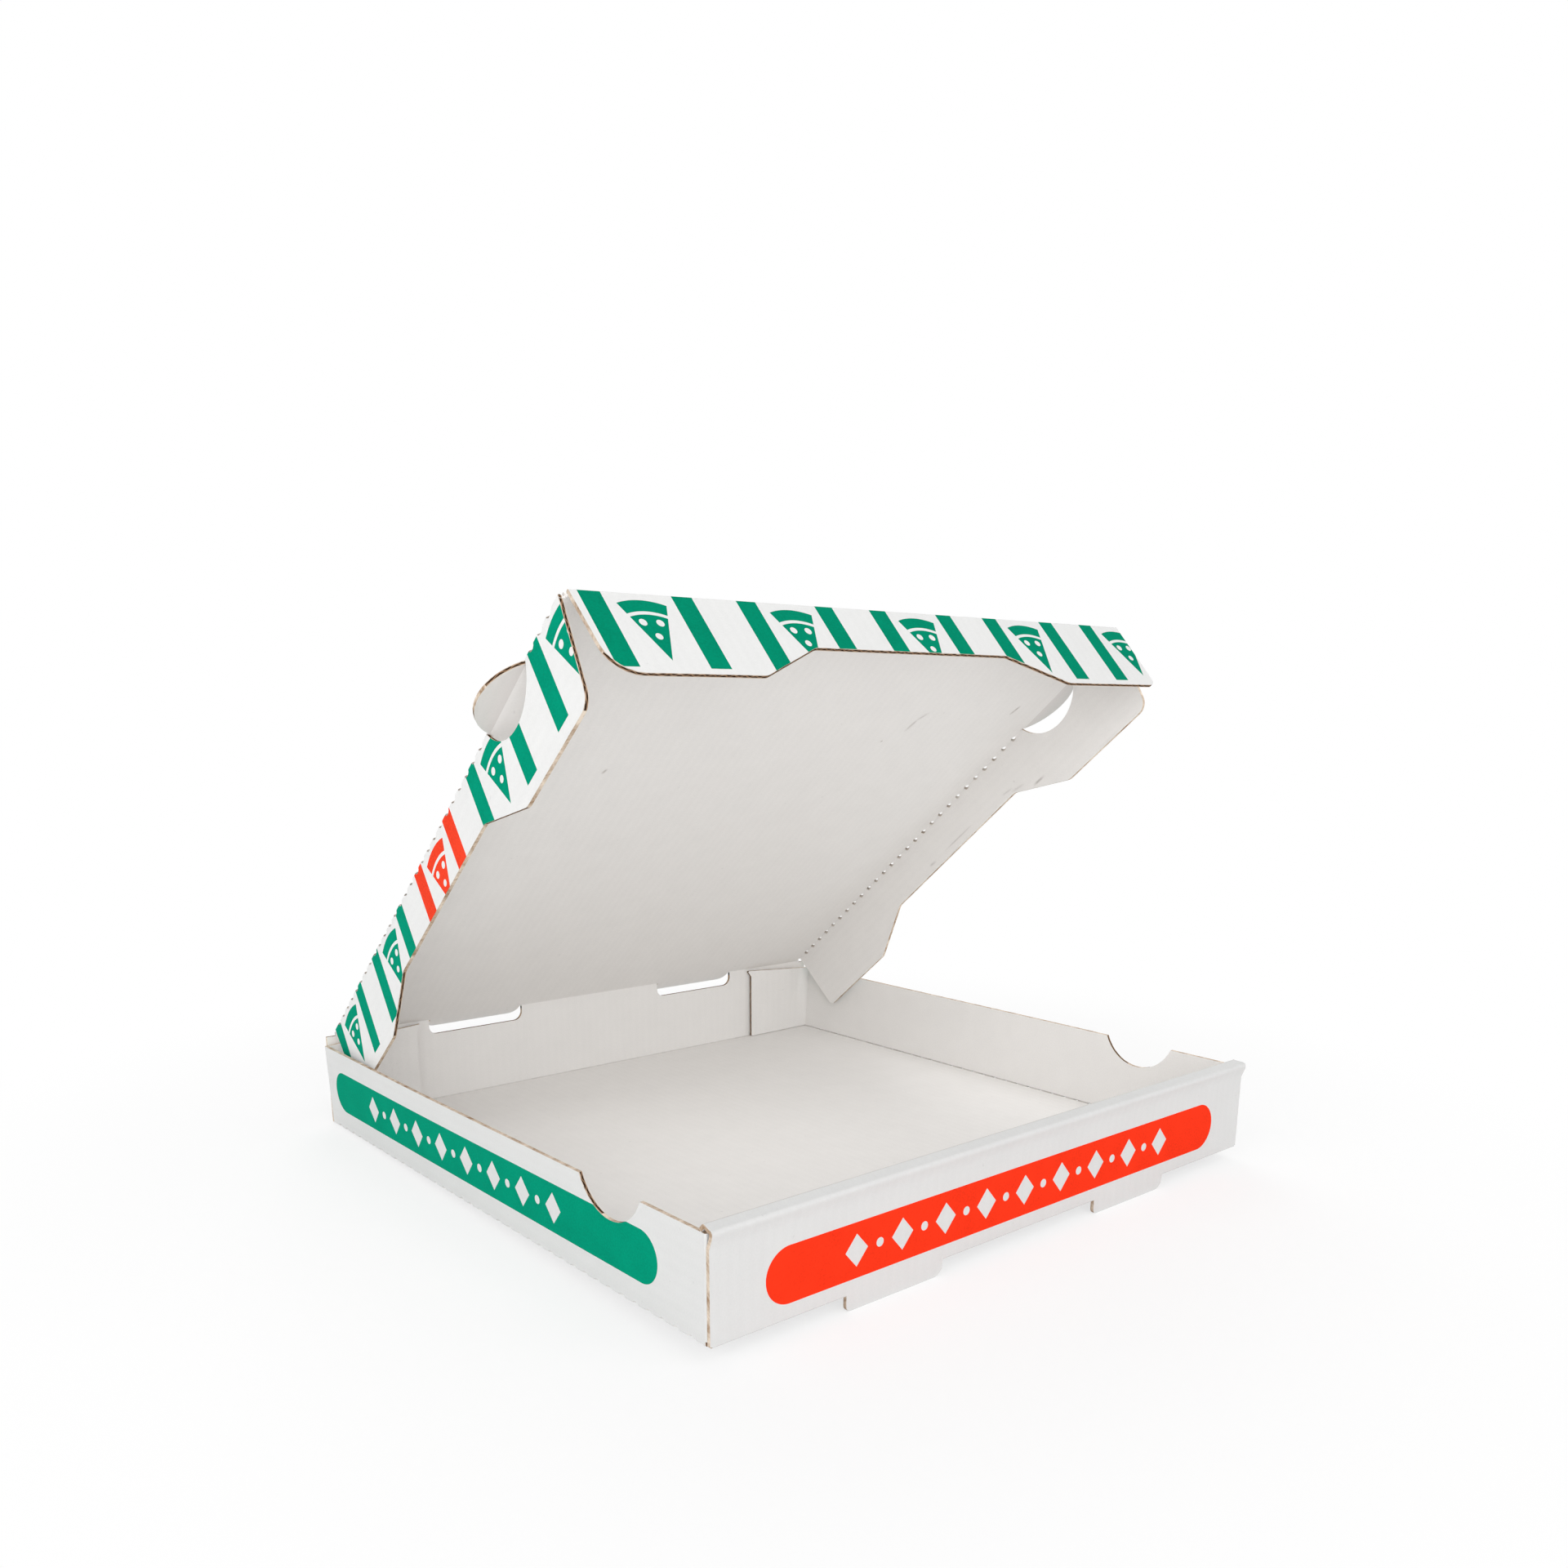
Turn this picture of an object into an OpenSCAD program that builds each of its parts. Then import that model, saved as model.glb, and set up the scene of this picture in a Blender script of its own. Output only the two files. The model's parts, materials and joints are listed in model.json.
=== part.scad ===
// Take-away pizza box of thin corrugated board, folded from one sheet, with its lid standing open.
// X is to the right, Y to the back and Z up. The origin is the centre of the tray's underside.

/* [Board] */
// Thickness of the corrugated board
board = 1.5; // [1:0.1:2.4]
// Clearance left at each moving fold
fold_gap = 0.3; // [0.2:0.05:0.6]
// Air between layers of board that lie against each other
layer_gap = 0.25; // [0.15:0.05:0.6]
// Width of the gap that a cutting rule leaves round a tab
kerf = 1; // [0.8:0.1:1.5]

/* [Tray] */
// Outside width of the tray
tray_w = 300; // [260:1:400]
// Outside depth of the tray
tray_d = 300; // [260:1:400]
// Height of the lid's fold above the underside
back_h = 43; // [38:0.5:60]
// How far the side walls stay below the lid's fold
side_drop = 5; // [3:0.5:9]
// How far the rolled front wall stays below the lid's fold
front_drop = 2; // [1:0.25:5]
// Length of the corner tabs that the side walls fold in at both ends
corner_tab = 44; // [25:1:70]
// How far the free end of a rear corner tab stays below the lid's fold
tab_drop = 1.8; // [1.5:0.1:4]

/* [Rolled front wall] */
// How far the outer crease of the roll stands out over the front
roll_flare = 1.2; // [0.4:0.1:2]
// Height of the flared band below the roll
flare_h = 7; // [4:0.5:12]
// How far the roll's top runs inwards before it turns down
roll_top = 3.3; // [2.5:0.1:5]
// Height over which the roll turns down to its fullest point inside
roll_turn = 2; // [1.5:0.1:3]
// How far the roll bulges inwards of the inner panel
roll_bulge = 0.4; // [0.2:0.1:1]

/* [Feet and lock tabs] */
// Width of a foot tab under the front wall
foot_w = 47.5; // [30:0.5:60]
// Distance of each foot tab's middle from the middle of the box
foot_x = 68.5; // [50:0.5:85]
// How far a foot tab hangs below the floor
foot_drop = 5.6; // [3:0.2:7]
// Radius of the foot tab's left corner
foot_r_left = 2; // [1:0.5:3]
// Radius of the foot tab's right corner
foot_r_right = 4.5; // [1:0.5:5]
// How much narrower a lock tab is than the hole that the foot left
lock_slack = 6; // [3:0.5:12]

/* [Thumb notches and lift tabs] */
// Distance of the notches from the front
thumb_y = 55; // [40:1:80]
// How far the lift tabs sit behind the notches
lift_back = 6; // [0:0.5:10]
// Radius of the notches and of the lift tabs
thumb_r = 20; // [14:0.5:24]
// Height of a notch's centre above the side wall
notch_rise = 8; // [4:0.5:12]
// Distance of a lift tab's centre inside the lid's side fold
lift_in = 8.5; // [3:0.5:12]

/* [Slots in the back wall] */
// Width of a slot
slot_w = 52; // [35:0.5:60]
// Distance from the middle of the box to the middle of each slot
slot_x = 69; // [60:0.5:72]
// How far the pair of slots sits to the right of the middle
slot_shift = -3.5; // [-5:0.5:5]
// Depth of a slot below the lid's fold
slot_h = 8; // [5:0.5:12]
// Radius of the slot's left corner
slot_r_left = 4; // [2:0.5:4.5]
// Radius of the slot's right corner
slot_r_right = 4.5; // [2:0.5:5]
// How far the lid's tab stays short of the slot's bottom edge
slot_clear = 1; // [0.8:0.1:2]

/* [Lid] */
// Angle of the lid above its closed position
lid_open = 40; // [0:1:120]
// Distance of the lid's side folds inside the tray's outer faces
lid_inset = 4.5; // [3.5:0.1:7]
// Distance of the lid's front fold behind the tray's front face
front_gap = 10.75; // [10:0.25:16]

/* [Tuck flaps] */
// Space between a tucked side flap and the underside of the floor
side_flap_clear = 6; // [4:0.5:12]
// Space between the tucked front flap and the underside of the floor
front_flap_clear = 8.5; // [5:0.5:14]
// How much shallower the flaps are in the middle
waist = 15; // [8:0.5:20]
// Angle of the front flap from the lid
front_fold = 87; // [70:1:95]
// How far past upright the flaps can lean inwards
flap_inwards = 15; // [5:1:25]
// Clearance of a side flap's lower edge from the side wall
wall_clear = 0.35; // [0.25:0.05:0.8]
// Length of a side flap's rear lobe
rear_lobe = 56; // [40:1:70]
// Length of a side flap's front lobe
front_lobe = 53; // [40:1:60]
// Length of the slope between a lobe and the waist
lobe_slope = 30; // [20:1:40]
// Length of each lobe of the front flap
tuck_lobe = 61; // [40:1:65]
// How far a side flap starts from the lid's rear fold
flap_start = 3.2; // [2.8:0.1:6]
// How far the flaps' fold lines stop short of the lid's front corners
corner_gap = 2; // [1.5:0.1:4]
// How far a side flap's rear end slants forwards
rear_slant = 4.8; // [2:0.1:10]
// How far a side flap's front end slants backwards
front_slant = 7; // [6:0.1:12]
// How far the ends of the front flap slant inwards
tuck_slant = 1; // [0.5:0.1:4]
// Radius of the corners of the lobes
lobe_r = 6; // [3:0.5:8]
// Radius of the front flap's left corner
tuck_r_left = 12; // [4:0.5:16]
// Radius of the front flap's right corner
tuck_r_right = 4; // [2:0.5:16]

/* [Hidden] */
$fn = 48;
corner_steps = 6;
board_white = [0.86, 0.86, 0.85];
half = board / 2;
side_h = back_h - side_drop;
front_h = back_h - front_drop;
hinge_y = tray_d / 2 - half;
lid_w = tray_w - 2 * lid_inset;
lid_d = tray_d - half - front_gap;
fold_edge = half + fold_gap;
lift_u = tray_d - half - thumb_y - lift_back;
side_deep = back_h - side_flap_clear;
front_deep = back_h - front_flap_clear;
side_lean = asin((lid_inset - half - board - wall_clear) / side_deep);
layer = board + layer_gap;

// Unit vector from a to b
function toward(a, b) = (b - a) / norm(b - a);

// Points of the arc that rounds the corner p between its neighbours a and b
function corner_arc(a, p, b, r) =
    let (
        to_a = toward(p, a),
        to_b = toward(p, b),
        half_angle = acos(to_a * to_b) / 2,
        centre = p + toward([0, 0], to_a + to_b) * r / sin(half_angle),
        first = p + to_a * r / tan(half_angle) - centre,
        last = p + to_b * r / tan(half_angle) - centre,
        start = atan2(first.y, first.x),
        turn = atan2(last.y, last.x) - start,
        sweep = turn > 180 ? turn - 360 : turn < -180 ? turn + 360 : turn
    )
    [for (i = [0:corner_steps]) let (a = start + sweep * i / corner_steps) centre + r * [cos(a), sin(a)]];

// Outline through corners given as [x, y, radius]
function rounded(corners) =
    let (n = len(corners), at = [for (c = corners) [c.x, c.y]])
    [for (i = [0:n - 1]) each corners[i][2] == 0
        ? [at[i]]
        : corner_arc(at[(i + n - 1) % n], at[i], at[(i + 1) % n], corners[i][2])];

// Corner of a strip's edge at fold point i of its middle line, to the left for side 1 and to the right for -1,
// rounded where the edge runs round the outside of the fold
function edge_corner(line, i, side) =
    let (
        into = toward(line[max(i - 1, 0)], line[max(i, 1)]),
        out = toward(line[min(i, len(line) - 2)], line[min(i + 1, len(line) - 1)]),
        sum = into + out,
        place = line[i] + side * board * [-sum.y, sum.x] / (sum * sum)
    )
    [place.x, place.y, cross(into, out) * side < -0.01 ? board : 0];

// Section of a folded strip of board along the fold points of its middle line
module folded_section(line) {
    last = len(line) - 1;
    polygon(rounded([
        for (i = [0:last]) edge_corner(line, i, 1),
        for (i = [last:-1:0]) edge_corner(line, i, -1)
    ]));
}

// A section drawn in depth and height, carried across the box over the width w
module across(w) {
    rotate([90, 0, 90]) linear_extrude(w, center = true) children();
}

// An upright panel drawn in width and height, with its front face at depth y
module upright(y) {
    translate([0, y + board, 0]) rotate([90, 0, 0]) linear_extrude(board) children();
}

// Front wall: outer panel up from the floor, flared crease, flat top, and the turn down inside,
// where the panel is narrower so that it fits between the side walls
front_y = -tray_d / 2;
inner_mid = half + 2 * layer;
roll_z = front_h - half;
roll_line = [
    [front_y + half, half],
    [front_y + half, roll_z - flare_h],
    [front_y + half - roll_flare, roll_z],
    [front_y + half - roll_flare + roll_top, roll_z],
    [front_y + inner_mid + roll_bulge, roll_z - roll_turn],
    [front_y + inner_mid, roll_z - flare_h],
    [front_y + inner_mid, layer]
];

module front_wall() {
    lock_h = layer + board;
    across(tray_w) folded_section([for (i = [0:4]) roll_line[i]]);
    across(tray_w - 2 * layer) folded_section([for (i = [3:6]) roll_line[i]]);
    across(tray_w - board) translate(roll_line[0]) circle(d = board);
    for (side = [-1, 1])
        translate([side * foot_x, front_y + inner_mid, lock_h / 2])
            cube([foot_w - lock_slack, board, lock_h], center = true);
}

// Foot tabs: cut out of the floor and left standing on the outer panel of the front wall
module feet() {
    low = -foot_drop;
    wide = foot_w / 2;
    for (side = [-1, 1])
        translate([side * foot_x, 0, 0]) upright(front_y)
            polygon(rounded([
                [-wide, board, 0], [-wide, low, foot_r_left],
                [wide, low, foot_r_right], [wide, board, 0]
            ]));
}

module floor_panel() {
    difference() {
        translate([0, 0, half]) cube([tray_w - board, tray_d - board, board], center = true);
        for (side = [-1, 1])
            translate([side * foot_x, front_y + board, half])
                cube([foot_w + 2 * kerf, 2 * (foot_drop + kerf), 2 * board], center = true);
    }
}

// Back wall with the two slots that the lid's tabs came out of
module back_wall() {
    top = back_h - fold_edge;
    low = back_h - slot_h;
    wide = slot_w / 2;
    upright(tray_d / 2 - board) difference() {
        translate([-tray_w / 2, half]) square([tray_w, top - half]);
        for (side = [-1, 1])
            translate([slot_shift + side * slot_x, 0])
                polygon(rounded([
                    [-wide, back_h, 0], [-wide, low, slot_r_left],
                    [wide, low, slot_r_right], [wide, back_h, 0]
                ]));
    }
    across(tray_w) translate([hinge_y, half]) circle(d = board);
}

// One side wall with its thumb notch and the tabs folded in at its ends; the left one is mirrored
module side_wall() {
    wall_x = tray_w / 2 - half;
    front = front_y + layer + half;
    back = tray_d / 2 - layer - half;
    difference() {
        translate([wall_x - half, front, half]) cube([board, back - front, side_h - half]);
        translate([wall_x, front_y + thumb_y, side_h + notch_rise])
            rotate([0, 90, 0]) cylinder(r = thumb_r, h = 3 * board, center = true);
    }
    translate([wall_x, (front + back) / 2, half])
        rotate([90, 0, 0]) cylinder(d = board, h = back - front, center = true);
    for (y = [front, back]) translate([wall_x, y, layer]) cylinder(d = board, h = side_h - layer);
    inner = tray_w / 2 - corner_tab;
    upright(front - half) polygon(rounded([
        [wall_x, layer, 0], [wall_x, side_h, 0],
        [inner, roll_z - flare_h, lobe_r], [inner, layer, lobe_r]
    ]));
    upright(back - half) polygon(rounded([
        [wall_x, layer, 0], [wall_x, side_h, 0],
        [inner, back_h - tab_drop, half], [inner, layer, half]
    ]));
}

module tray() {
    color(board_white) {
        floor_panel();
        back_wall();
        front_wall();
        feet();
        side_wall();
        mirror([1, 0, 0]) side_wall();
    }
}

// Places what is drawn on the closed lid, with its rear fold along the X axis, on the open lid
module on_lid() {
    translate([0, hinge_y, back_h]) rotate([-lid_open, 0, 0]) children();
}

module fold_bead(length) {
    rotate([0, 90, 0]) cylinder(d = board, h = length, center = true);
}

// Lid panel, its lower edge crushed to a slant along the flaps' folds so that the flaps can lean inwards
module lid_panel() {
    edge = fold_edge / cos(flap_inwards);
    side_x = lid_w / 2 - edge;
    front_u = lid_d - edge;
    intersection() {
        rotate([90, 0, 0]) linear_extrude(lid_d) polygon([
            [-side_x, half], [side_x, half], [side_x, 0],
            [side_x - half, -half], [half - side_x, -half], [-side_x, 0]
        ]);
        across(lid_w) polygon([
            [0, -half], [half - front_u, -half], [-front_u, 0], [-front_u, half], [0, half]
        ]);
    }
}

module lid() {
    wide = slot_w / 2 - kerf;
    reach = slot_h - slot_clear;
    color(board_white) on_lid() {
        fold_bead(lid_w);
        lid_panel();
        linear_extrude(board, center = true) {
            for (side = [-1, 1]) {
                translate([side * (lid_w / 2 - lift_in), -lift_u]) circle(thumb_r);
                translate([slot_shift + side * slot_x, 0])
                    polygon(rounded([
                        [-wide, -half, 0], [wide, -half, 0],
                        [wide, reach, slot_r_right], [-wide, reach, slot_r_left]
                    ]));
            }
        }
    }
}

// Tuck flaps, drawn flat with their fold along the axis and then folded down

module front_flap() {
    wide = lid_w / 2 - corner_gap;
    low = -front_deep;
    high = low + waist - tuck_slant;
    lobe = wide - tuck_slant - tuck_lobe;
    color(board_white) on_lid() translate([0, -lid_d, 0]) rotate([front_fold, 0, 0]) {
        fold_bead(2 * wide);
        linear_extrude(board, center = true) polygon(rounded([
            [-wide, 0, 0], [-wide + tuck_slant, low, tuck_r_left],
            [-lobe, low, lobe_r], [-lobe + lobe_slope, high, lobe_r],
            [lobe - lobe_slope, high, lobe_r], [lobe, low, lobe_r],
            [wide - tuck_slant, low, tuck_r_right], [wide, 0, 0]
        ]));
    }
}

module side_flap() {
    rear = -flap_start;
    front = corner_gap - lid_d;
    high = side_deep - waist;
    rear_end = rear - rear_slant - rear_lobe;
    front_end = front + front_slant + front_lobe;
    on_lid() translate([lid_w / 2, 0, 0]) rotate([0, 90 - side_lean, 0]) difference() {
        union() {
            translate([0, (rear + front) / 2, 0]) rotate([0, 0, 90]) fold_bead(rear - front);
            linear_extrude(board, center = true) polygon(rounded([
                [0, rear, 0], [side_deep, rear - rear_slant, lobe_r / 2],
                [side_deep, rear_end, lobe_r], [high, rear_end - lobe_slope, lobe_r],
                [high, front_end + lobe_slope, lobe_r], [side_deep, front_end, lobe_r],
                [side_deep, front + front_slant, lobe_r], [0, front, 0]
            ]));
        }
        translate([-lift_in, -lift_u, 0]) cylinder(r = thumb_r + kerf, h = 3 * board, center = true);
    }
}

module left_flap() {
    color(board_white) mirror([1, 0, 0]) side_flap();
}

module right_flap() {
    color(board_white) side_flap();
}

tray();
lid();
front_flap();
left_flap();
right_flap();
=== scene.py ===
import json
import math
import bpy
from mathutils import Matrix, Vector

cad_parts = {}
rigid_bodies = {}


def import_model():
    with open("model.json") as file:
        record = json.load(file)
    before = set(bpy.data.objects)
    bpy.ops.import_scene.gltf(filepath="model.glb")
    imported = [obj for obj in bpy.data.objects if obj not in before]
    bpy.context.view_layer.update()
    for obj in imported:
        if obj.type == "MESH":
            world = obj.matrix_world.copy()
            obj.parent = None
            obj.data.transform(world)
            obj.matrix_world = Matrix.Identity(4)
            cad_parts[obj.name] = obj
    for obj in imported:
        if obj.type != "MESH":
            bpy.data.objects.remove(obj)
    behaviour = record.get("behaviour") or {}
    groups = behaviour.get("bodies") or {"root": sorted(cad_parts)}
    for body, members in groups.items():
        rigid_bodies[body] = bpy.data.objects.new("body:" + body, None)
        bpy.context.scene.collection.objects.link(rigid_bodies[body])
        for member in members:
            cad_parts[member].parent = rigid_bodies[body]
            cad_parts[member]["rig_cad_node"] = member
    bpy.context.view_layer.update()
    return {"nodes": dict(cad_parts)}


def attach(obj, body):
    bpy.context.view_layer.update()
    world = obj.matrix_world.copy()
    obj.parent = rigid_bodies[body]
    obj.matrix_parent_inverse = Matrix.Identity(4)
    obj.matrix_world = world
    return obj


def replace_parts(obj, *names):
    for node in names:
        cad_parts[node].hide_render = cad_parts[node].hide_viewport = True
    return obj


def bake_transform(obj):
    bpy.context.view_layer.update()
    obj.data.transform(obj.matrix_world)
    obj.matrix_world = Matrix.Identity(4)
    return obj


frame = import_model()
bpy.ops.object.select_all(action="DESELECT")

# Tray: floor, four walls and tucked corner tabs, folded from one sheet of thin corrugated board.
# Both faces are white paper with flat ink outside, and every cut shows the brown middle of the board.
# The side folds are perforated so that the board bends there, and the side walls spring outwards a little.


class Socket:
    """A shader value that is reckoned with like a number."""

    def __init__(self, tree, out):
        self.tree, self.out = tree, out

    def add(self, kind, inputs, out=0, **settings):
        node = self.tree.nodes.new(kind)
        for name, value in settings.items():
            setattr(node, name, value)
        for key, value in inputs.items():
            if isinstance(value, Socket):
                self.tree.links.new(value.out, node.inputs[key])
            else:
                node.inputs[key].default_value = value
        return Socket(self.tree, node.outputs[out])

    def math(self, operation, *others):
        values = {i + 1: other for i, other in enumerate(others)}
        return self.add("ShaderNodeMath", {0: self, **values}, operation=operation)

    def mix(self, first, second):
        return self.add("ShaderNodeMix", {0: self, 6: first, 7: second}, out=2, data_type="RGBA")

    def __add__(self, other):
        return self.math("ADD", other)

    def __sub__(self, other):
        return self.math("SUBTRACT", other)

    def __rsub__(self, other):
        return (self * -1) + other

    def __mul__(self, other):
        return self.math("MULTIPLY", other)

    def __lt__(self, other):
        return self.math("LESS_THAN", other)

    def __gt__(self, other):
        return self.math("GREATER_THAN", other)

    def __and__(self, other):
        return self.math("MINIMUM", other)

    def __or__(self, other):
        return self.math("MAXIMUM", other)

    def __abs__(self):
        return self.math("ABSOLUTE")

    __radd__, __rmul__ = __add__, __mul__


def board_material(name):
    """A new material, its shader, and the place on the sheet of board before it was bent."""
    material = bpy.data.materials.new(name)
    material.use_nodes = True
    tree = material.node_tree
    laid = tree.nodes.new("ShaderNodeAttribute")
    laid.attribute_name = "laid"
    place = Socket(tree, laid.outputs["Vector"])
    return material, tree.nodes["Principled BSDF"], place, [
        place.add("ShaderNodeSeparateXYZ", {0: place}, out=i) for i in range(3)]


BLACK = (0, 0, 0, 1)
GREEN_INK = (0.0, 0.32, 0.19, 1)
RED_INK = (0.96, 0.040, 0.011, 1)
FLUTE = 0.0044


def paper_face(name, white, across, print_on=None, marks_and_painted_shade_on=None):
    """White paper lining: cloudy, fibrous, with the flutes showing through faintly, ink, handling marks and painted
    shade.
    """
    material, shader, place, (x, y, z) = board_material(name)
    cloud = place.add("ShaderNodeTexNoise", {"Vector": place, "Scale": 90.0, "Detail": 4.0}) - 0.5
    fibre = place.add("ShaderNodeTexNoise", {"Vector": place, "Scale": 1300.0, "Detail": 3.0}) - 0.5
    flute = (across(x, y, z) * (2 * math.pi / FLUTE)).math("SINE")
    speck = place.add("ShaderNodeTexNoise", {"Vector": place, "Scale": 330.0, "Detail": 1.0}) > 0.80
    tone = 0.96 + cloud * 0.05 + fibre * 0.08 + flute * 0.005 - speck * 0.07
    colour = tone.mix(BLACK, (*white, 1))
    for ink, shape in print_on(x, y, z) if print_on else []:
        colour = shape.mix(colour, (0.94 + cloud * 0.25 + fibre * 0.45).mix(BLACK, ink))
    # Marks: real scuffs and streaks, and painted shade in folds and on the lift tabs.
    for shade, shape in marks_and_painted_shade_on(x, y, z, cloud) if marks_and_painted_shade_on else []:
        colour = shape.mix(colour, shade)
    height = flute * 0.3 + fibre * 0.9 + cloud * 0.6
    bump = place.add("ShaderNodeBump", {"Height": height, "Distance": 0.00012, "Strength": 0.3})
    shader.id_data.links.new(colour.out, shader.inputs["Base Color"])
    shader.id_data.links.new(bump.out, shader.inputs["Normal"])
    shader.inputs["Roughness"].default_value = 0.8
    shader.inputs["Specular IOR Level"].default_value = 0.02
    return material


def rough_edge(shader, colour):
    shader.id_data.links.new(colour.out, shader.inputs["Base Color"])
    shader.inputs["Roughness"].default_value = 0.9
    shader.inputs["Specular IOR Level"].default_value = 0.05


def cut_edge(name, across, depth):
    """Cut board: two pale linings, the waved brown sheet between them, and painted shade in its hollows."""
    lining_from, wave_height, sheet_half = 0.00047, 0.00038, 0.00022
    # Painted shade: the hollows between the flutes are drawn near black, as shade falls in them.
    painted_flute_shade, sheet = (0.030, 0.016, 0.009, 1), (0.26, 0.15, 0.085, 1)
    dull_lining, pale_lining = (0.46, 0.34, 0.25, 1), (0.72, 0.63, 0.54, 1)
    material, shader, place, (x, y, z) = board_material(name)
    ragged = place.add("ShaderNodeTexNoise", {"Vector": place, "Scale": 380.0, "Detail": 3.0}) - 0.5
    off = depth(x, y, z) + ragged * 0.0007
    wave = (across(x, y, z) * (2 * math.pi / FLUTE) + ragged * 2.5).math("SINE") * wave_height
    middle = (abs(off - wave) < sheet_half).mix(painted_flute_shade, sheet)
    torn = (ragged * 1.6 + 0.5).mix(dull_lining, pale_lining)
    rough_edge(shader, (abs(off) > lining_from).mix(middle, torn))
    return material


def crushed_edge(name, brown, pale):
    """Board cut along its flutes or perforated: pressed shut, brown and pale by turns."""
    material, shader, place, _ = board_material(name)
    patch = place.add("ShaderNodeTexNoise", {"Vector": place, "Scale": 160.0, "Detail": 2.0}) - 0.5
    torn = place.add("ShaderNodeTexNoise", {"Vector": place, "Scale": 900.0, "Detail": 3.0}) - 0.5
    rough_edge(shader, (0.52 + patch * 2.4 + torn * 1.2).mix(brown, pale))
    return material


MERGE = 2e-6
EDGE_WIDTH = 0.0021


def board_from(node, name, materials, slot_of):
    """A copy of a CAD node with its flat triangles merged, its paper faces told from its narrow cut edges."""
    bpy.ops.object.select_all(action="DESELECT")
    frame["nodes"][node].select_set(True)
    bpy.context.view_layer.objects.active = frame["nodes"][node]
    bpy.ops.object.duplicate()
    piece = bpy.context.object
    piece.name = piece.data.name = name
    bpy.ops.object.parent_clear(type="CLEAR_KEEP_TRANSFORM")
    del piece["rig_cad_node"]
    piece.data.materials.clear()
    for material in materials:
        piece.data.materials.append(material)
    bpy.ops.object.mode_set(mode="EDIT")
    bpy.ops.mesh.select_mode(type="FACE")
    bpy.ops.mesh.select_all(action="SELECT")
    bpy.ops.mesh.customdata_custom_splitnormals_clear()
    bpy.ops.mesh.remove_doubles(threshold=MERGE)
    bpy.ops.mesh.dissolve_limited(angle_limit=math.radians(0.3))
    bpy.ops.mesh.select_all(action="DESELECT")
    bpy.ops.object.mode_set(mode="OBJECT")
    points = piece.data.vertices
    for face in piece.data.polygons:
        rim = sum((points[a].co - points[b].co).length for a, b in face.edge_keys)
        face.select = 2 * face.area / rim > EDGE_WIDTH
    bpy.ops.object.mode_set(mode="EDIT")
    bpy.ops.mesh.faces_select_linked_flat(sharpness=math.radians(60))
    bpy.ops.object.mode_set(mode="OBJECT")
    for face in piece.data.polygons:
        face.material_index = slot_of(face.center, face.normal, face.select)
    return piece


def perforation(start, step, count, turn, size, narrow, material):
    """A row of short slots along a fold: one oval punch, narrowing to its far end, repeated."""
    bpy.ops.object.select_all(action="DESELECT")
    bpy.ops.mesh.primitive_cone_add(vertices=10, radius1=1, radius2=narrow, depth=0.005, location=start,
                                    rotation=turn.to_euler(), scale=(*size, 1))
    punch = bpy.context.object
    bpy.ops.object.transform_apply()
    punch.data.materials.append(material)
    row = punch.modifiers.new("row", "ARRAY")
    row.count = count
    row.use_relative_offset = False
    row.use_constant_offset = True
    row.constant_offset_displace = step
    bpy.ops.object.modifier_apply(modifier="row")
    return punch


def punch_out(piece, punch):
    bpy.context.view_layer.objects.active = piece
    hole = piece.modifiers.new("hole", "BOOLEAN")
    hole.object = punch
    hole.solver = "EXACT"
    hole.material_mode = "TRANSFER"
    bpy.ops.object.modifier_apply(modifier="hole")


def lay_flat(piece):
    """Keeps each point's place for the print, before anything is bent."""
    laid = piece.data.attributes.new("laid", "FLOAT_VECTOR", "POINT")
    for point, kept in zip(piece.data.vertices, laid.data):
        kept.vector = point.co


def smooth(piece):
    bpy.ops.object.select_all(action="DESELECT")
    piece.select_set(True)
    bpy.context.view_layer.objects.active = piece
    bpy.ops.object.shade_smooth_by_angle(angle=math.radians(50))
    piece.modifiers.new("even", "WEIGHTED_NORMAL").keep_sharp = True
    bpy.ops.object.modifier_apply(modifier="even")


def band(along, up, middle, length, height, radius):
    """A printed field with round ends, and a row of diamonds and dots left white in it."""
    half_step, diamond_half, dot_radius, row_half = 0.011, 0.0060, 0.0017, 0.0937
    reach = (abs(along - middle) - (length / 2 - radius)) | 0.0
    rise = up - height
    field = (reach * reach + rise * rise).math("SQRT") < radius
    step = (along - middle).math("WRAP", half_step, -half_step)
    between = (along - middle + half_step).math("WRAP", half_step, -half_step)
    diamond = (abs(step) * 1.15 + abs(rise)) < diamond_half
    dot = (between * between + rise * rise) < dot_radius ** 2
    return field, (diamond | dot) & (abs(along - middle) < row_half)


def front_print(x, y, z):
    field, row = band(x, z, middle=0.0002, length=0.2557, height=0.0159, radius=0.0102)
    return [(RED_INK, field & (1 - row))]


def side_print(x, y, z):
    row_from = -0.0655
    field, row = band(y, z, middle=0.0082, length=0.2612, height=0.0190, radius=0.0096)
    return [(GREEN_INK, field & (1 - (row & (y > row_from))))]


# Colour of the lid's real scuffs, and of the painted shade laid into the folds.
SCUFF_AND_PAINTED_CREASE_SHADE = (0.34, 0.30, 0.27, 1)


# Painted shade: a thin, patchy dark line on the tray's inside where the floor folds up into the side walls, fainter at
# the back wall.
def painted_crease_shade(x, y, z, cloud):
    by_wall, low = 0.1480, z < 0.0020
    side, rear = (abs(x) > by_wall) & low, (y > by_wall) & low
    return [(SCUFF_AND_PAINTED_CREASE_SHADE, (side * 0.55 | rear * 0.25) * (0.9 + cloud * 2))]


def along_x(x, y, z):
    return x


def along_z(x, y, z):
    return z


INSIDE, FRONT, SIDE, OUTSIDE, SIDE_CUT, FRONT_CUT, TAB_CUT, CRUSHED = range(8)
SLANTED, FACING = 0.3, 0.7
WALL_INNER, WALL_OUTER = 0.1484, 0.1495


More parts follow.
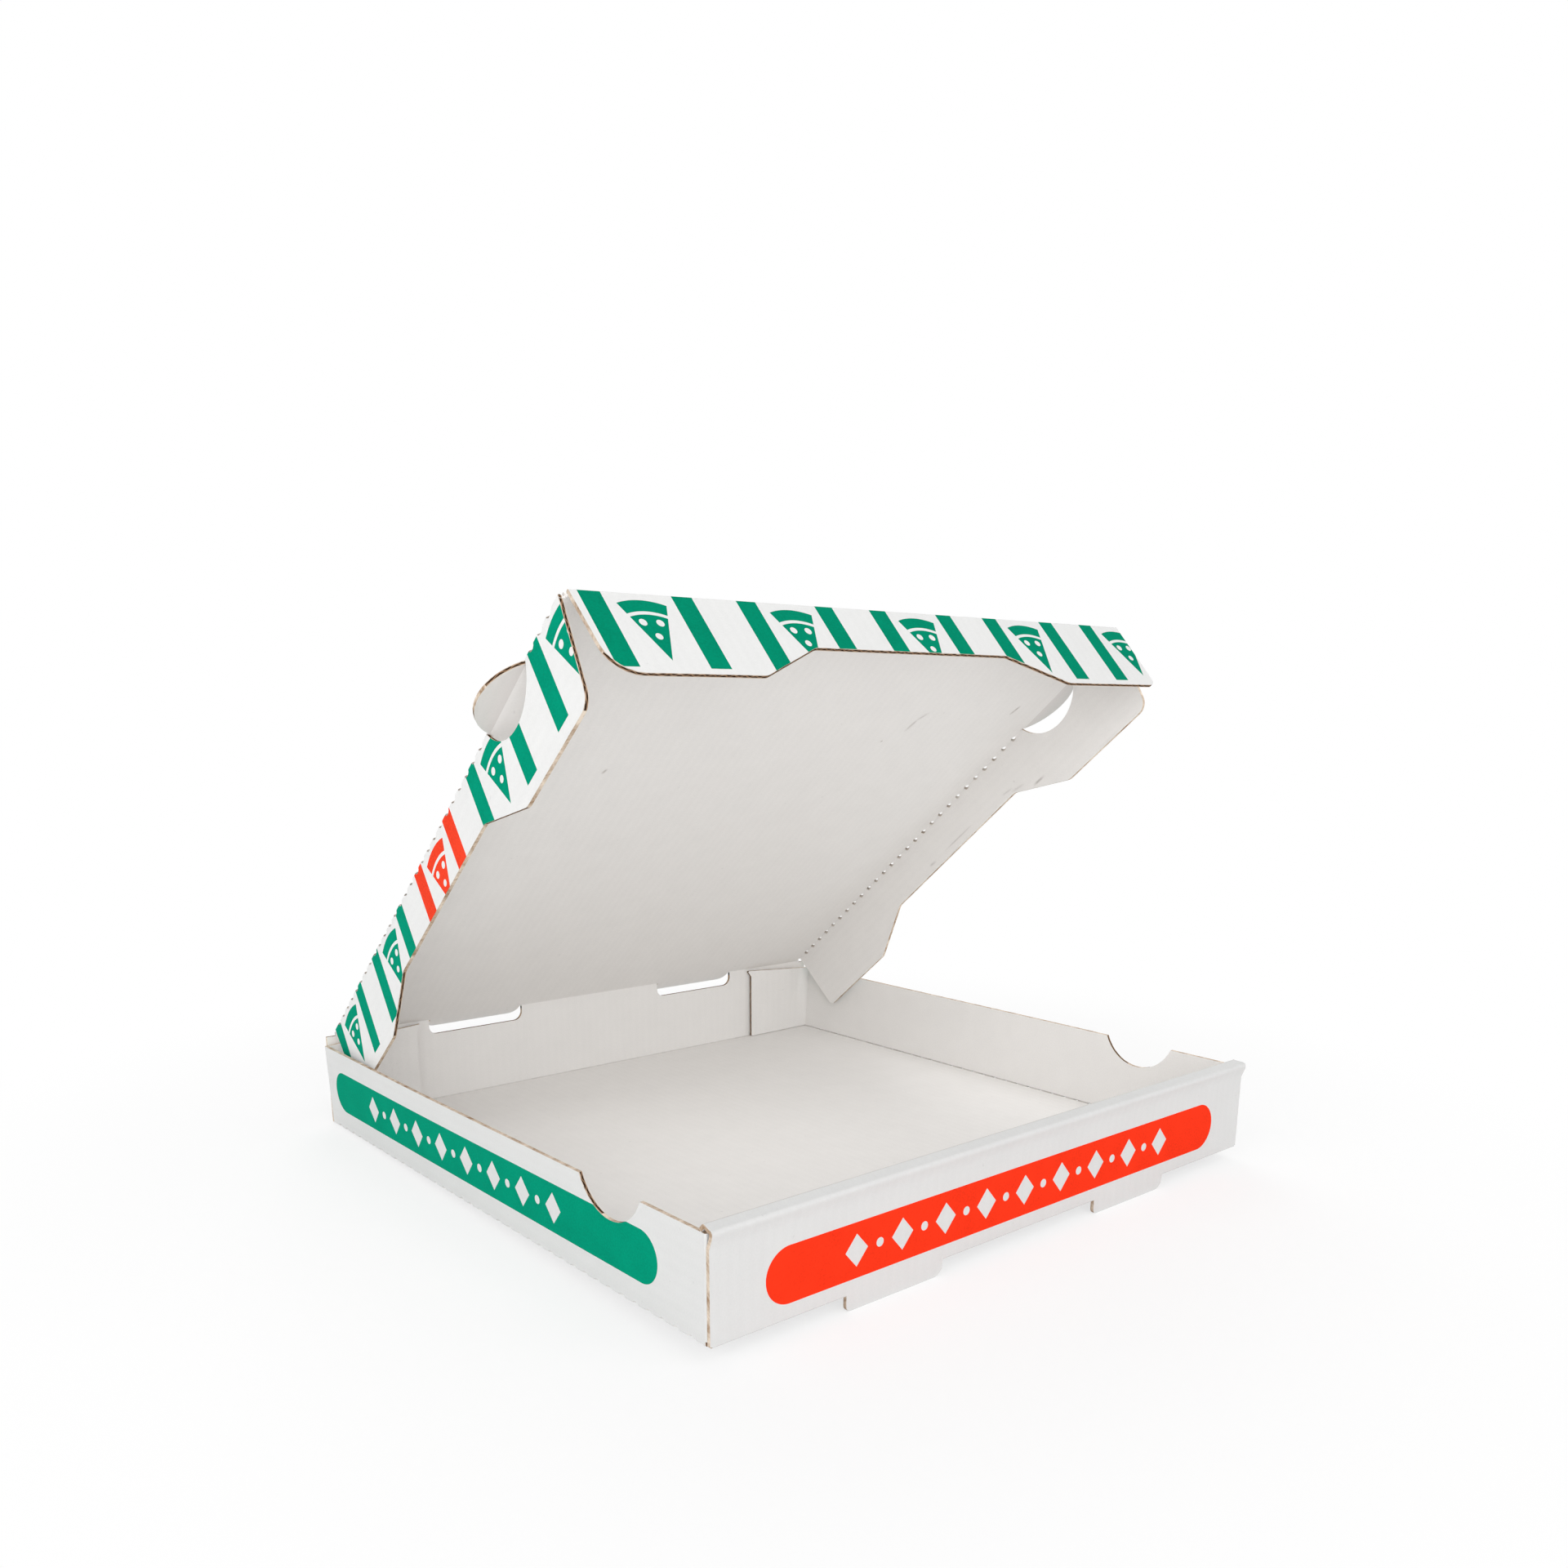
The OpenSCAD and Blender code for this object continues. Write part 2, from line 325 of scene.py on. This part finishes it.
def tray_slot(centre, normal, paper):
    if not paper:
        if abs(centre.y) > WALL_INNER:
            return FRONT_CUT if abs(normal.x) < FACING else CRUSHED
        if abs(centre.x) > WALL_INNER:
            return SIDE_CUT if abs(normal.y) > SLANTED else CRUSHED
        return TAB_CUT if abs(normal.x) > SLANTED else CRUSHED
    if normal.y < -FACING and centre.y < -WALL_OUTER:
        return FRONT
    if abs(normal.x) > FACING and abs(centre.x) > WALL_OUTER:
        return SIDE
    back = normal.y > FACING and centre.y > WALL_OUTER
    underside = normal.z < -FACING and centre.z < 0.0005
    roll = centre.y < -0.145 and centre.z > 0.0325
    return OUTSIDE if back or underside or roll else INSIDE


# The board's one white paper takes a different colour on each kind of panel, set to how the studio light falls on it:
# partly painted light. The front wall and outside keep WHITE; the side walls, lid and flaps, more in shade, are painted
# lighter. The inside white is warmer, as the inner lining is, and also painted lighter against the shade inside the
# box.
WHITE = (0.70, 0.70, 0.694)
SIDE_PAINTED_LIGHTER_WHITE = (0.775, 0.775, 0.768)
WARM_PAINTED_LIGHTER_WHITE = (0.90, 0.882, 0.862)
WALL_MIDDLE, TAB_MIDDLE, HALF_BOARD = 0.14925, 0.1475, 0.00075
crushed = crushed_edge("crushed_cut", (0.36, 0.235, 0.145, 1), (0.82, 0.71, 0.59, 1))
pressed = crushed_edge("pressed_fold", (0.76, 0.745, 0.725, 1), (0.84, 0.83, 0.815, 1))
tray = board_from("tray", "tray_board", [
    paper_face("tray_inside", WARM_PAINTED_LIGHTER_WHITE, along_x, None, painted_crease_shade),
    paper_face("tray_front", WHITE, along_x, front_print),
    paper_face("tray_side", SIDE_PAINTED_LIGHTER_WHITE, along_z, side_print),
    paper_face("tray_outside", WHITE, along_x),
    cut_edge("tray_side_cut", along_z, lambda x, y, z: abs(x) - WALL_MIDDLE),
    cut_edge("tray_front_cut", along_x, lambda x, y, z: abs(y) - WALL_MIDDLE),
    cut_edge("tray_tab_cut", along_z, lambda x, y, z: abs(y) - TAB_MIDDLE),
    crushed,
], tray_slot)
PUNCH_STEP = 0.00775
for side in (-1, 1):
    slots = perforation((side * WALL_MIDDLE, -0.1395, HALF_BOARD), (0, PUNCH_STEP, 0), 37,
                        Matrix.Rotation(math.radians(-45 * side), 3, "Y"), (0.0016, 0.0030), 0.04, pressed)
    punch_out(tray, slots)
    bpy.data.objects.remove(slots)

BEND_STEP, ROLL_FOLD = 0.0125, 0.0382
bpy.context.view_layer.objects.active = tray
bpy.ops.object.mode_set(mode="EDIT")
for i in range(-11, 12):
    bpy.ops.mesh.select_all(action="SELECT")
    bpy.ops.mesh.bisect(plane_co=(0, i * BEND_STEP, 0), plane_no=(0, 1, 0))
bpy.ops.mesh.select_all(action="SELECT")
bpy.ops.mesh.bisect(plane_co=(0, 0, ROLL_FOLD), plane_no=(0, 0, 1))
bpy.ops.object.mode_set(mode="OBJECT")
for face in tray.data.polygons:
    middle = face.center
    at_end = abs(face.normal.x) > 0.9 and abs(middle.x) > 0.1499
    if at_end and (middle.y < -0.1485 or middle.z > ROLL_FOLD):
        face.material_index = CRUSHED
lay_flat(tray)


def press(piece, chosen, shift):
    """Moves the chosen points of a piece, as a hand presses a fold or a loose corner."""
    bpy.context.view_layer.objects.active = piece
    bpy.ops.object.mode_set(mode="EDIT")
    bpy.ops.mesh.select_mode(type="VERT")
    bpy.ops.mesh.select_all(action="DESELECT")
    bpy.ops.object.mode_set(mode="OBJECT")
    for point in piece.data.vertices:
        point.select = chosen(point.co)
    bpy.ops.object.mode_set(mode="EDIT")
    bpy.ops.transform.translate(value=shift)
    bpy.ops.object.mode_set(mode="OBJECT")


def roll_crease(p):
    return p.y < -0.1493 and p.z > 0.0381


def roll_right_end(p):
    return p.x > 0.1499 and -0.1480 < p.y < -0.1440 and p.z > 0.0384


def rear_tab_end(p):
    return 0.105 < p.x * side < 0.107 and 0.1466 < p.y < WALL_INNER


def rear_tab_corner(p):
    return 0.105 < p.x * side < 0.107 and 0.1450 < p.y < WALL_INNER and p.z > 0.040


press(tray, roll_crease, (0, -0.0006, -0.0011))
press(tray, roll_right_end, (-0.003, 0, 0))
for side in (-1, 1):
    press(tray, rear_tab_end, (0, -0.0008, 0))
    press(tray, rear_tab_corner, (-0.0022 * side, 0, 0.0006))

TAB_FROM, TAB_LONG = 0.106, 0.0415
walls = tray.vertex_groups.new(name="walls")
for point in tray.data.vertices:
    x, y = abs(point.co.x), point.co.y
    if -0.1449 < y < WALL_INNER and x > 0.1475:
        walls.add([point.index], 1, "REPLACE")
    elif 0.1455 < y < WALL_INNER and x > TAB_FROM:
        walls.add([point.index], (x - TAB_FROM) / TAB_LONG, "REPLACE")

CAGE_WIDE, CAGE_DEEP, CAGE_HIGH = 0.300, 0.295, 0.041
SPRING_LEFT = (0, -0.0025, -0.0042, -0.0040)
SPRING_RIGHT = (0, 0.0046, 0.0063, 0.0075)
bpy.ops.object.select_all(action="DESELECT")
bpy.ops.object.add(type="LATTICE", location=(0, 0, CAGE_HIGH / 2))
cage = bpy.context.object
cage.scale = (CAGE_WIDE, CAGE_DEEP, CAGE_HIGH)
cage.data.points_u, cage.data.points_v, cage.data.points_w = 2, 4, 2
cage.data.interpolation_type_v = "KEY_CATMULL_ROM"
top_row = 2 * 4
for row, (left, right) in enumerate(zip(SPRING_LEFT, SPRING_RIGHT)):
    cage.data.points[top_row + 2 * row].co_deform.x += left / CAGE_WIDE
    cage.data.points[top_row + 2 * row + 1].co_deform.x += right / CAGE_WIDE
bpy.context.view_layer.objects.active = tray
spring = tray.modifiers.new("spring", "LATTICE")
spring.object = cage
spring.vertex_group = "walls"
bpy.context.view_layer.update()
bpy.ops.object.modifier_apply(modifier="spring")
bpy.data.objects.remove(cage)
smooth(tray)
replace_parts(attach(tray, "tray"), "tray")

# Lid: the panel that hangs on the back wall's top fold, stood open, with its two round lift tabs and two rear
# tongues, cut out of the back wall. White inside, printed all over outside with bars and slices in green and red.
# Both side folds are perforated, and the left one has opened wider outside.
HINGE_Y, HINGE_Z = WALL_MIDDLE, 0.043
LID_OPEN = math.radians(40)
COS, SIN = math.cos(LID_OPEN), math.sin(LID_OPEN)
LID_TURN = Matrix.Rotation(-LID_OPEN, 3, "X")
LID_HALF = 0.1455
# The lid's outside white, painted lighter than WHITE against shade.
LID_PAINTED_LIGHTER_WHITE = (0.77, 0.77, 0.762)
lid_normal = Vector((0, SIN, COS))
lid_forward = Vector((0, -COS, SIN))


def lid_along(y, z):
    return (y - HINGE_Y) * -COS + (z - HINGE_Z) * SIN


def lid_above(y, z):
    return (y - HINGE_Y) * SIN + (z - HINGE_Z) * COS


def lid_point(x, u, h):
    return Vector((x, HINGE_Y - u * COS + h * SIN, HINGE_Z + u * SIN + h * COS))


def slice_motif(a, b):
    """Two bars and a slice with its crust and toppings between them."""
    bar_at, bar_half, bar_reach = 0.0182, 0.0043, 0.0165
    tip, slice_long, crust_at, crust_half = 0.0135, 0.0265, 0.0208, 0.0007
    topping_at, topping_out, low_topping, high_topping = 0.0030, 0.0034, 0.0014, 0.0015
    bars = (abs(abs(a) - bar_at) < bar_half) & (abs(b) < bar_reach)
    up = b + tip
    far = (a * a + up * up).math("SQRT")
    wedge = (abs(a) < up * 0.40) & (far < slice_long)
    crust = abs(far - crust_at) < crust_half
    high, low, out = b - topping_at, b + topping_at, abs(a) - topping_out
    toppings = ((a * a + low * low) < low_topping ** 2) | ((out * out + high * high) < high_topping ** 2)
    return bars | (wedge & (1 - (crust | toppings)))


MOTIF_STEP, COLUMN_STEP = 0.064, 0.0485


def motif_row(along, first):
    """Which motif of a row a place belongs to, and how far along from its middle."""
    row = ((along - first) * (1 / MOTIF_STEP)).math("ROUND")
    return row, along - first - row * MOTIF_STEP


def lid_print(x, y, z):
    row, a = motif_row(lid_along(y, z), 0.030)
    column = (x * (1 / COLUMN_STEP)).math("ROUND")
    motif = slice_motif(a, x - column * COLUMN_STEP)
    red = (row + column + 12).math("MODULO", 3) < 0.5
    return [(GREEN_INK, motif), (RED_INK, motif & red)]


def scuffs(p, q, cloud, lines):
    """Faint rubbed lines, each from one point of a panel to another, with its width and strength."""
    rubbed = 0.0
    for (x0, y0), (x1, y1), width, strength in lines:
        length = math.hypot(x1 - x0, y1 - y0)
        ex, ey = (x1 - x0) / length, (y1 - y0) / length
        along = (p - x0) * ex + (q - y0) * ey
        off = abs((q - y0) * ex - (p - x0) * ey)
        ends = ((along & (length - along)) * (3 / length)) | 0.0
        line = ((1 - off * (1 / width)) | 0.0) * (ends & 1.0) * ((cloud * 3 + 0.8) | 0.0)
        rubbed = line * strength | rubbed
    return rubbed


# The lid's inside: real scuffs, painted shade along the side folds, and painted shade on the lift tabs.
def lid_scuffs_and_painted_shade(x, y, z, cloud):
    lift_at, lift_half, painted_tab_shade = 0.238, 0.019, (0.50, 0.44, 0.42, 1)
    u = lid_along(y, z)
    soft = scuffs(x, u, cloud, (
        ((0.0625, 0.2185), (0.0645, 0.2275), 0.0012, 1),
        ((0.0636, 0.2260), (0.0685, 0.2325), 0.0012, 0.6),
        ((0.1246, 0.2300), (0.1268, 0.2370), 0.0011, 1),
        ((0.0526, 0.2118), (0.0538, 0.2128), 0.0009, 1),
        ((-0.0880, 0.1950), (-0.0866, 0.1985), 0.0010, 1)))
    # Painted shade: a thin dark line along each side fold, broken at the lift tabs.
    fold = (abs(x) > 0.1442) & (abs(x) < 0.1456) & (abs(u - lift_at) > lift_half)
    # Painted shade: the lift tabs are drawn darker than the rest of the lid's inside.
    shaded_tab = abs(x) > 0.1457
    return [(SCUFF_AND_PAINTED_CREASE_SHADE, soft * 0.75 | fold * 0.45), (painted_tab_shade, shaded_tab * 0.35)]


PANEL_INSIDE, PANEL_OUTSIDE, PANEL_CUT, PANEL_CRUSHED = range(4)


def lid_slot(centre, normal, paper):
    if paper:
        return PANEL_OUTSIDE if normal.dot(lid_normal) > SLANTED else PANEL_INSIDE
    return PANEL_CRUSHED if abs(normal.dot(lid_forward)) < SLANTED else PANEL_CUT


punched = crushed_edge("punched_fold", (0.58, 0.50, 0.43, 1), (0.84, 0.80, 0.75, 1))
lid = board_from("lid", "lid_board", [
    paper_face("lid_inside", WARM_PAINTED_LIGHTER_WHITE, along_x, None, lid_scuffs_and_painted_shade),
    paper_face("lid_outside", LID_PAINTED_LIGHTER_WHITE, along_x, lid_print),
    cut_edge("lid_cut", along_x, lambda x, y, z: lid_above(y, z)),
    crushed,
], lid_slot)
lid_slots = {-1: [], 1: []}
for side, size, narrow in ((-1, (0.0021, 0.0030), 0.3), (1, (0.0010, 0.0016), 1)):
    outside_up = LID_TURN @ Matrix.Rotation(math.radians(-135 * side), 3, "Y")
    for first, count in ((0.0110, 27), (0.2630, 3)):
        slots = perforation(lid_point(side * LID_HALF, first, 0), lid_point(0, PUNCH_STEP, 0) - lid_point(0, 0, 0),
                            count, outside_up, size, narrow, punched)
        lid_slots[side].append(slots)
        punch_out(lid, slots)
lay_flat(lid)
smooth(lid)
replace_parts(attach(lid, "lid"), "lid")

# Side flaps: folded down from the lid along perforated folds, deep at both ends and shallow between.
# Printed outside with the lid's bars and slices; each leaves a half-round hole where the lift tab was cut.
# They tuck inside the tray's side walls.
# The flaps' outside white, painted lighter still, as the flaps hang in shade.
FLAP_PAINTED_LIGHTER_WHITE = (0.88, 0.88, 0.872)
FLAP_RED_INK = (0.97, 0.065, 0.026, 1)
MOTIF_DOWN = 0.0155


def down_flap(x, y, z):
    return lid_above(y, z)


def side_flap_print(red_row):
    def print_on(x, y, z):
        row, a = motif_row(lid_along(y, z), 0.026)
        motif = slice_motif(a, lid_above(y, z) + MOTIF_DOWN)
        return [(GREEN_INK, motif), (FLAP_RED_INK, motif & (abs(row - red_row) < 0.5))]
    return print_on


def right_marks(x, y, z, cloud):
    streaks = scuffs(lid_along(y, z), lid_above(y, z), cloud, (
        ((0.1950, -0.0205), (0.2045, -0.0222), 0.0009, 1),
        ((0.2080, -0.0263), (0.2170, -0.0266), 0.0009, 1),
        ((0.1993, -0.0173), (0.2003, -0.0177), 0.0008, 1),
        ((0.1890, -0.0182), (0.1975, -0.0195), 0.0007, 0.6),
        ((0.1400, -0.0178), (0.1650, -0.0180), 0.0006, 0.7),
        ((0.1265, -0.0180), (0.1325, -0.0184), 0.0009, 1)))
    return [((0.32, 0.29, 0.27, 1), streaks * 0.55)]


def side_flap_slot(centre, normal, paper):
    if paper:
        return PANEL_OUTSIDE if normal.x * side > SLANTED else PANEL_INSIDE
    forward = normal.dot(lid_forward)
    fluted = forward < -SLANTED or (side < 0 and forward > SLANTED)
    return PANEL_CUT if fluted else PANEL_CRUSHED


def side_flap_depth(x, y, z):
    lean = 0.0513
    return abs(x) - LID_HALF + lid_above(y, z) * lean


side_paper = {}
for side, node, red_row, marks in ((-1, "left_flap", 2, None), (1, "right_flap", 1, right_marks)):
    side_paper[side] = paper_face(node + "_outside", FLAP_PAINTED_LIGHTER_WHITE, down_flap, side_flap_print(red_row))
    flap = board_from(node, node + "_board", [
        paper_face(node + "_inside", WARM_PAINTED_LIGHTER_WHITE, down_flap, None, marks),
        side_paper[side],
        cut_edge(node + "_cut", down_flap, side_flap_depth),
        crushed,
    ], side_flap_slot)
    for slots in lid_slots[side]:
        punch_out(flap, slots)
    lay_flat(flap)
    smooth(flap)
    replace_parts(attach(flap, node), node)

# Front flap: folded down from the lid's front edge along a plain crease, with two deep lobes.
# Printed outside like the side flaps, in a deeper green. It tucks behind the rolled front wall.
DEEP_GREEN_INK = (0.0, 0.245, 0.138, 1)
LID_DEEP = 0.2885


def front_flap_print(x, y, z):
    _, a = motif_row(x, 0.010)
    return [(DEEP_GREEN_INK, slice_motif(a, lid_above(y, z) + MOTIF_DOWN))]


def front_flap_depth(x, y, z):
    lean = 0.0524
    return lid_along(y, z) - LID_DEEP + lid_above(y, z) * lean


def front_flap_slot(centre, normal, paper):
    if paper:
        return PANEL_OUTSIDE if normal.dot(lid_forward) > SLANTED else PANEL_INSIDE
    return PANEL_CRUSHED if abs(normal.dot(lid_normal)) < SLANTED else PANEL_CUT


front_paper = paper_face("front_flap_outside", LID_PAINTED_LIGHTER_WHITE, along_x, front_flap_print)
front_flap = board_from("front_flap", "front_flap_board", [
    paper_face("front_flap_inside", WARM_PAINTED_LIGHTER_WHITE, along_x),
    front_paper,
    cut_edge("front_flap_cut", along_x, front_flap_depth),
    crushed,
], front_flap_slot)
lay_flat(front_flap)
smooth(front_flap)
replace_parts(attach(front_flap, "front_flap"), "front_flap")

# Creases: the crushed strip of board at each moving fold, which carries the paper over from panel to panel.
# The strips of the rear and front folds are fixed where they are made, on no moving part. Those of the side flaps stay
# on the lid's edge, perforated with it, and the flap turns about their round nose.
STRIP_WIDE, STRIP_THICK, STRIP_SHIFT, NOSE = 0.00318, 0.00156, 0.00081, 0.00078
inside_paper = paper_face("crease_inside", WARM_PAINTED_LIGHTER_WHITE, along_x)
outside_paper = paper_face("crease_outside", LID_PAINTED_LIGHTER_WHITE, along_x)


def crease(name, middle, length, leg, along, outwards, paper, punches, bodies):
    turn = Matrix((leg, along, leg.cross(along))).transposed()
    bpy.ops.object.select_all(action="DESELECT")
    bpy.ops.mesh.primitive_cube_add(size=1, location=middle + leg * STRIP_SHIFT, rotation=turn.to_euler(),
                                    scale=(STRIP_WIDE, length, STRIP_THICK))
    strip = bpy.context.object
    strip.name = strip.data.name = name
    bpy.ops.object.transform_apply()
    strip.data.materials.append(inside_paper)
    strip.data.materials.append(paper)
    for part in (strip.data.vertices, strip.data.polygons):
        for item in part:
            item.select = False
    for edge in strip.data.edges:
        a, b = (strip.data.vertices[i].co for i in edge.vertices)
        edge.select = (a - middle).dot(leg) < -0.0007 and abs((a - b).normalized().dot(along)) > 0.99
    bpy.ops.object.mode_set(mode="EDIT")
    bpy.ops.mesh.select_mode(type="EDGE")
    bpy.ops.mesh.bevel(offset=NOSE, segments=5, affect="EDGES")
    bpy.ops.mesh.select_all(action="SELECT")
    bpy.ops.mesh.remove_doubles(threshold=MERGE)
    bpy.ops.object.mode_set(mode="OBJECT")
    for face in strip.data.polygons:
        face.material_index = int(face.normal.dot(outwards) > 0.2)
    for slots in punches:
        punch_out(strip, slots)
    lay_flat(strip)
    smooth(strip)
    if len(bodies) == 2:
        middle + leg * 0.0012
        middle - leg * 0.0006
        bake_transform(strip)
    else:
        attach(strip, *bodies)


x_axis = Vector((1, 0, 0))
for i, (x0, x1) in enumerate(((-LID_HALF, -0.0985), (-0.0465, 0.0395), (0.0915, LID_HALF))):
    crease(f"rear_crease_{i + 1}", Vector(((x0 + x1) / 2, HINGE_Y, HINGE_Z)), x1 - x0, Vector((0, 0, -1)), x_axis,
           Vector((0, 0.906, 0.423)), outside_paper, [], ("tray", "lid"))
crease("front_crease", lid_point(0, LID_DEEP, 0), 0.287, -lid_forward, x_axis,
       (lid_forward + lid_normal).normalized(), front_paper, [], ("lid", "front_flap"))
for side, node in ((-1, "left_flap"), (1, "right_flap")):
    for i, (u0, u1) in enumerate(((0.0032, 0.2190), (0.2575, 0.2865))):
        crease(f"{node}_crease_{i + 1}", lid_point(side * LID_HALF, (u0 + u1) / 2, 0), u1 - u0, x_axis * -side,
               lid_forward, (x_axis * side + lid_normal).normalized(), side_paper[side],
               [lid_slots[side][i]], ("lid",))
for rows in lid_slots.values():
    for slots in rows:
        bpy.data.objects.remove(slots)

# Studio: a white table that the box stands on with its two feet and its rear edge, so it leans back slightly.
# The table and the backdrop run into the same white; soft light comes from the front left and all round.
scene = bpy.context.scene
scene.view_settings.view_transform = "Standard"
bpy.ops.object.select_all(action="DESELECT")
bpy.ops.mesh.primitive_plane_add(size=30, location=(0, 0, -0.00285), rotation=(math.radians(1.07), 0, 0))
table = bpy.context.object
table.name = "table"
white = bpy.data.materials.new("table_white")
white.use_nodes = True
tree = white.node_tree
shader = tree.nodes["Principled BSDF"]
shader.inputs["Base Color"].default_value = (0.92, 0.92, 0.92, 1)
shader.inputs["Roughness"].default_value = 0.95
shader.inputs["Specular IOR Level"].default_value = 0.0
place = Socket(tree, tree.nodes.new("ShaderNodeTexCoord").outputs["Object"])
seen = Socket(tree, tree.nodes.new("ShaderNodeLightPath").outputs["Is Camera Ray"])
away = place.add("ShaderNodeVectorMath", {0: place}, out=1, operation="LENGTH")
far = away.add("ShaderNodeMapRange", {"Value": away, "From Min": 0.20, "From Max": 0.42, "To Min": 0.68, "To Max": 1.0},
               interpolation_type="SMOOTHSTEP")
glow = tree.nodes.new("ShaderNodeEmission")
blend = tree.nodes.new("ShaderNodeMixShader")
tree.links.new((seen * far).out, blend.inputs[0])
tree.links.new(shader.outputs[0], blend.inputs[1])
tree.links.new(glow.outputs[0], blend.inputs[2])
tree.links.new(blend.outputs[0], tree.nodes["Material Output"].inputs["Surface"])
table.data.materials.append(white)

FILL = 0.43
world = bpy.data.worlds.new("studio")
scene.world = world
world.use_nodes = True
tree = world.node_tree
path = tree.nodes.new("ShaderNodeLightPath")
plain = Socket(tree, path.outputs["Is Camera Ray"]) | Socket(tree, path.outputs["Is Glossy Ray"]) | \
    Socket(tree, path.outputs["Is Transmission Ray"])
tree.links.new((plain * (1 - FILL) + FILL).out, tree.nodes["Background"].inputs["Strength"])
tree.nodes["Background"].inputs["Color"].default_value = (1, 1, 1, 1)
box_middle = Vector((0, 0, 0.08))
for name, spot, size, power in (
        ("front_light", (-0.70, -1.50, 0.60), 1.3, 12),
        ("left_light", (-1.6, -0.3, 0.9), 1.2, 9.5),
        ("top_light", (0.35, -1.0, 1.3), 1.2, 6.5),
        ("back_light", (0.7, 1.5, 1.4), 1.5, 16)):
    bpy.ops.object.light_add(type="AREA", location=spot)
    lamp = bpy.context.object
    lamp.name = name
    lamp.data.size = size
    lamp.data.energy = power
    lamp.rotation_euler = (box_middle - lamp.location).to_track_quat("-Z", "Y").to_euler()

bpy.ops.object.camera_add(location=(-0.36887, -0.4419, 0.1925),
                          rotation=(math.radians(75.777), math.radians(-0.14), math.radians(-40.38)))
camera = bpy.context.object
camera.data.sensor_width = 36
camera.data.lens = 29.632
camera.data.shift_y = 0.16146
scene.camera = camera
